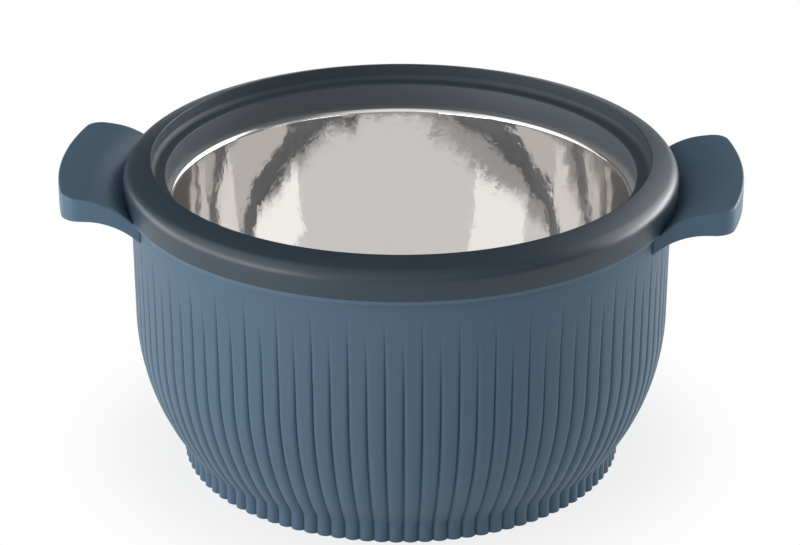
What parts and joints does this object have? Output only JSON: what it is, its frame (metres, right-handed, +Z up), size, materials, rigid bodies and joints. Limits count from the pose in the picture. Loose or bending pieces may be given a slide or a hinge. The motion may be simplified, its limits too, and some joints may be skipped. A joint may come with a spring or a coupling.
{
  "type": "insulated serving casserole",
  "caption": "Round insulated serving pot with a steel inner bowl, a fluted plastic shell, a rim collar that seats a lid, and two lug handles.",
  "frame": {"origin": "centre of the foot, on the surface that the casserole stands on", "axes": "+X runs through the two lug handles, +Z is up through the open mouth, and +Y is square to both; the front is -Y"},
  "size_m": [0.297, 0.2412, 0.139],
  "materials": {
    "shell_blue": "fine matte moulded polypropylene",
    "collar_slate": "satin moulded polypropylene",
    "bowl_steel": "mirror-polished stainless steel",
    "gasket_silicone": "smooth silicone",
    "foam_cream": "cut polyurethane foam",
    "screw_zinc": "bright zinc plating"
  },
  "bodies": {
    "root": {"outer_shell": "shell_blue", "handle_ring": "shell_blue", "ring_screws": "screw_zinc", "rim_collar": "collar_slate", "inner_bowl": "bowl_steel", "bowl_gasket": "gasket_silicone", "insulation_foam": "foam_cream", "base_plate": "shell_blue", "foam_plug": "shell_blue"}
  },
  "joints": []
}
